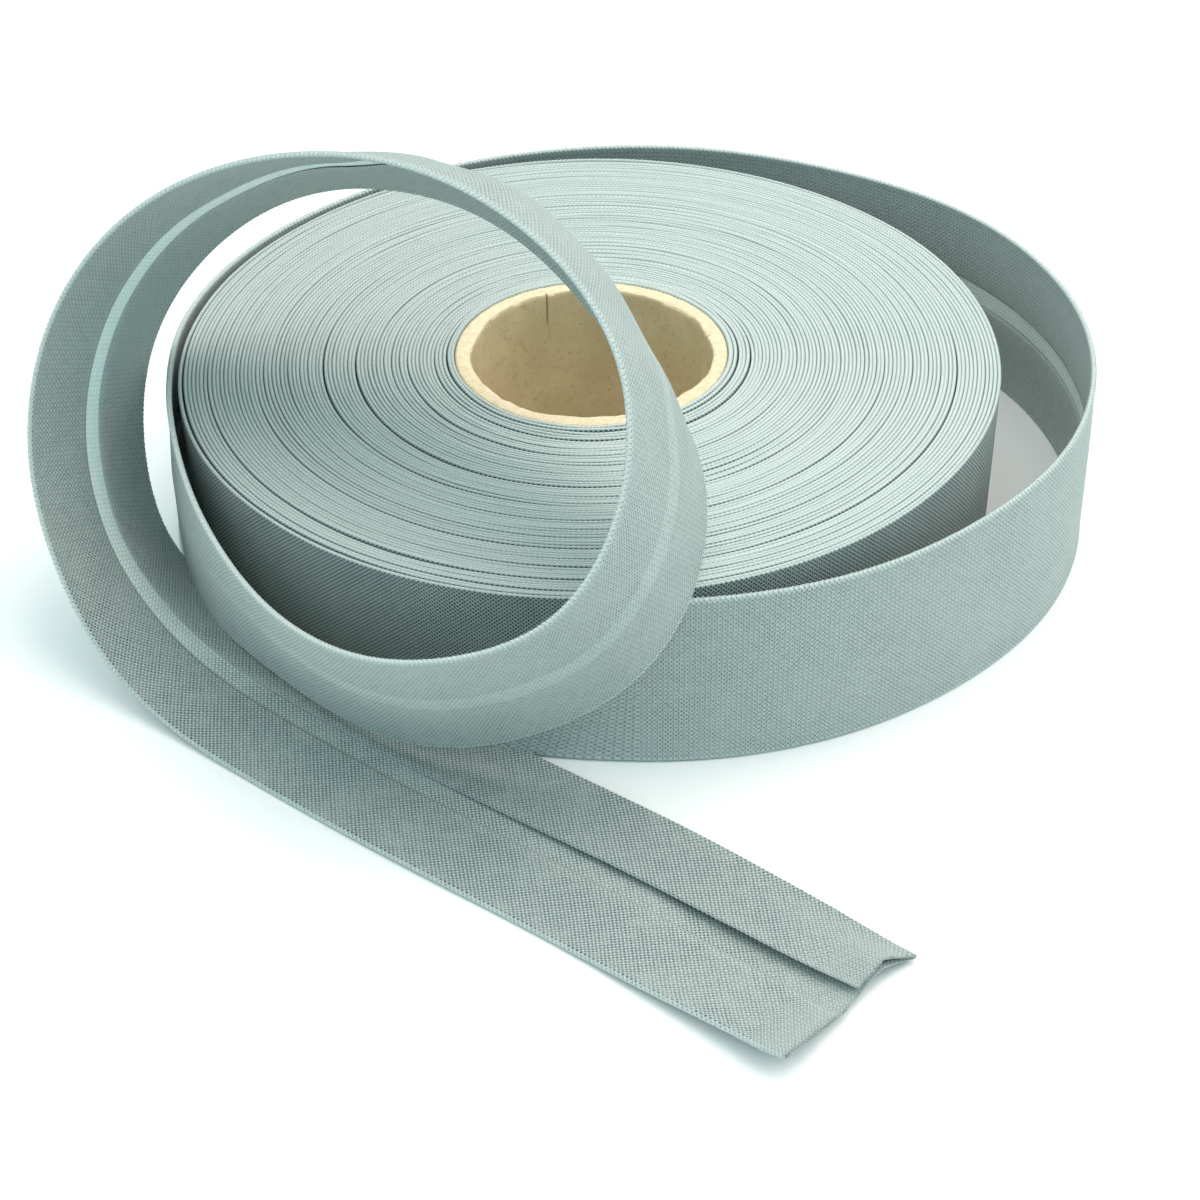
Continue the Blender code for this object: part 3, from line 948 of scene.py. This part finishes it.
    @staticmethod
    def lay_out(route, section, unfolded):
        """Places section points along the route, with a slanted start and a ragged cut end."""
        middle, width, face, along, run = route
        across = section[..., 0]
        points = (middle[:, None] + width[:, None] * section[..., :1]
                  + face[:, None] * section[..., 1:])
        cut = np.clip((run - run[-1] + 9.0) / 9.0, 0.0, 1.0)[:, None]
        pulled_back = -2.3 * np.clip((across + 15.0) / 8.0, 0.0, 1.0)
        pulled_back = pulled_back + 0.18 * drift(unfolded * 1.2, 35, 9, 1.0)[None, :]
        start = np.clip(1.0 - run / 12.0, 0.0, 1.0)[:, None]
        start_slant = 3.0 - 0.46 * (15.0 - across)
        return points + along[:, None] * (cut * pulled_back + start * start_slant)[..., None]

    @staticmethod
    def cloth_marks(sizes, unfolded, run):
        """What the cotton shows at each point: painted light through the single layer, thread proud
        on the folds with a painted highlight, and how open the weave looks."""
        face_side, turned_side = (
            table_column(SHOW_THROUGH, column, run)[:, None] for column in (1, 2))
        half = sizes.width / 2.0
        outward = np.arange(len(unfolded)) < len(unfolded) // 2
        bare = np.abs(unfolded) < sizes.edge_gap / 2.0 + 0.1
        light_through = (bare & outward) * face_side + (bare & ~outward) * turned_side
        # painted light: a raw edge is thin and lets some light through, and the upper flap's raw
        # edge is painted lighter still, over the shade line along it
        at_edge = np.clip(1.0 - (np.abs(unfolded[0]) - np.abs(unfolded)) / 0.9, 0.0, 1.0)
        pressed = np.where(unfolded > 0.0, 0.22, 0.0)[None, :]
        light_through = light_through + at_edge * np.maximum(0.18 * turned_side, pressed)
        fold_light = np.clip(1.0 - np.abs(np.abs(unfolded) - half) / 0.6, 0.0, 1.0)
        weave = np.where(outward & (np.abs(unfolded) < half), 0.5,
                         table_column(OPEN_WEAVE, 1, run)[:, None])
        return {"painted_light_through": light_through, "open_weave": weave,
                "fold_nap_and_light": np.broadcast_to(fold_light, light_through.shape)}

    @staticmethod
    def edge_threads(context, layer, run):
        """Threads that stand proud round both folds, along the raw edges and at the cut end."""
        sizes = context.scene.binding_sizes
        bend = 11                                # first of the six points round a fold
        rows = []
        for side in (slice(None), slice(None, None, -1)):
            line = layer[:, side]
            middle = (line[:, bend] + line[:, bend + 5]) / 2.0
            out = (line[:, bend + 2] + line[:, bend + 3]) / 2.0 - middle
            rows.append((middle, out, line[:, bend + 5] - line[:, bend], run,
                         sizes.fold_depth / 2.0, 0.15, run[0], run[-1]))
            # the raw edges show only on the free strip
            edge = line[:, 0]
            out = edge - line[:, 1]
            rows.append((edge - 0.06 * unit(out), out, np.cross(np.gradient(edge, axis=0), out),
                         run, 0.07, 0.10, 560.0, run[-1]))
        end = layer[-1]
        steps = np.linalg.norm(np.diff(end, axis=0), axis=1)
        place = np.concatenate(([0.0], np.cumsum(steps)))
        out = np.repeat((layer[-1] - layer[-3])[29:30], len(end), axis=0)
        rows.append((end - 0.05 * unit(out), out, np.cross(np.gradient(end, axis=0), out), place,
                     0.08, 0.12, 0.0, place[-1]))
        return thread_beads("edge_threads", rows, sizes.thread * math.sqrt(2.0),
                            cloth_material(context))


class OBJECT_OT_add_studio(bpy.types.Operator):
    """Add the floor, the soft lights, the pale room and the camera"""

    bl_idname = "object.add_binding_studio"
    bl_label = "Studio"

    FLOOR_REACH = 3.0                            # metres each way
    LAMP_COLOUR = (1.0, 0.80, 0.72)              # warm lamps, against a cool white room
    ROOM_COLOUR = (0.68, 1.0, 1.07, 1.0)
    ROOM_STRENGTH = 0.76
    # wide banks of light to both sides whiten the floor: direction and strength
    BANKS = (
        ("right_bank", (-0.7, 0.0, -1.0), 1.19),
        ("left_bank", (0.7, 0.0, -1.0), 0.78),
    )
    BANK_ANGLE = math.radians(60.0)
    # round softboxes model the roll: place and width in metres, power in watts
    SOFTBOXES = (
        ("back_softbox", (0.24, 0.32, 0.62), 0.55, 0.57),
        ("right_softbox", (0.42, 0.12, 0.42), 0.50, 0.50),
        ("top_softbox", (0.03, 0.08, 0.55), 0.40, 0.79),
    )
    AIM = (0.0, 0.02, 0.03)
    CAMERA_BACK, CAMERA_HEIGHT = 390.9, 271.4    # millimetres from the roll's axis and the floor
    CAMERA_TURN, CAMERA_DIP, CAMERA_ROLL = -0.14, 36.74, -0.65    # degrees
    LENS = 84.4                                  # millimetres, on a 36 mm wide sensor

    def execute(self, context):
        scene = context.scene
        reach = self.FLOOR_REACH
        mesh = bpy.data.meshes.new("studio_floor")
        mesh.from_pydata([(-reach, -reach, 0.0), (reach, -reach, 0.0), (reach, reach, 0.0),
                          (-reach, reach, 0.0)], [], [(0, 1, 2, 3)])
        mesh.materials.append(painted_floor(scene.binding_colours))
        floor = bpy.data.objects.new("studio_floor", mesh)
        scene.collection.objects.link(floor)

        for name, direction, energy in self.BANKS:
            bank = bpy.data.lights.new(name, "SUN")
            bank.energy = energy
            bank.angle = self.BANK_ANGLE
            self.add_lamp(scene, bank, direction)
        for name, place, size, energy in self.SOFTBOXES:
            box = bpy.data.lights.new(name, "AREA")
            box.shape = "DISK"
            box.size = size
            box.energy = energy
            lamp = self.add_lamp(scene, box, Vector(self.AIM) - Vector(place))
            lamp.location = place

        world = bpy.data.worlds.new("white_room")
        world.use_nodes = True
        room = world.node_tree.nodes["Background"]
        room.inputs["Color"].default_value = self.ROOM_COLOUR
        room.inputs["Strength"].default_value = self.ROOM_STRENGTH
        scene.world = world

        data = bpy.data.cameras.new("product_camera")
        data.sensor_width = 36.0
        data.lens = self.LENS
        data.clip_start, data.clip_end = 0.02, 20.0
        camera = bpy.data.objects.new("product_camera", data)
        place = (AXIS_X * MM, (AXIS_Y - self.CAMERA_BACK) * MM, self.CAMERA_HEIGHT * MM)
        camera.matrix_world = (
            Matrix.Translation(place)
            @ Matrix.Rotation(math.radians(self.CAMERA_TURN), 4, "Z")
            @ Matrix.Rotation(math.radians(90.0 - self.CAMERA_DIP), 4, "X")
            @ Matrix.Rotation(math.radians(self.CAMERA_ROLL), 4, "Z"))
        scene.collection.objects.link(camera)
        scene.camera = camera
        scene.view_settings.view_transform = "Standard"
        scene.view_settings.look = "None"
        return {"FINISHED"}

    def add_lamp(self, scene, light, direction):
        """Hangs a light that shines in a direction."""
        light.color = self.LAMP_COLOUR
        lamp = bpy.data.objects.new(light.name, light)
        lamp.rotation_euler = Vector(direction).to_track_quat("-Z", "Y").to_euler()
        scene.collection.objects.link(lamp)
        return lamp


class VIEW3D_PT_binding(bpy.types.Panel):
    """Buttons and settings for the roll of binding"""

    bl_label = "Bias Binding"
    bl_space_type = "VIEW_3D"
    bl_region_type = "UI"
    bl_category = "Binding"

    def draw(self, context):
        for operator in PIECES:
            self.layout.operator(operator.bl_idname)
        for group in (context.scene.binding_sizes, context.scene.binding_colours):
            for name in group.__annotations__:
                self.layout.prop(group, name)


PIECES = (
    OBJECT_OT_add_cardboard_core,
    OBJECT_OT_add_wound_turns,
    OBJECT_OT_add_loose_binding,
    OBJECT_OT_add_studio,
)
CLASSES = (BindingSizes, BindingColours, *PIECES, VIEW3D_PT_binding)


def register():
    for cls in CLASSES:
        bpy.utils.register_class(cls)
    bpy.types.Scene.binding_sizes = PointerProperty(type=BindingSizes)
    bpy.types.Scene.binding_colours = PointerProperty(type=BindingColours)


def unregister():
    del bpy.types.Scene.binding_colours
    del bpy.types.Scene.binding_sizes
    for cls in reversed(CLASSES):
        bpy.utils.unregister_class(cls)


def main():
    register()
    bpy.ops.object.add_cardboard_core()
    bpy.ops.object.add_wound_turns()
    bpy.ops.object.add_loose_binding()
    bpy.ops.object.add_binding_studio()


if __name__ == "__main__":
    main()
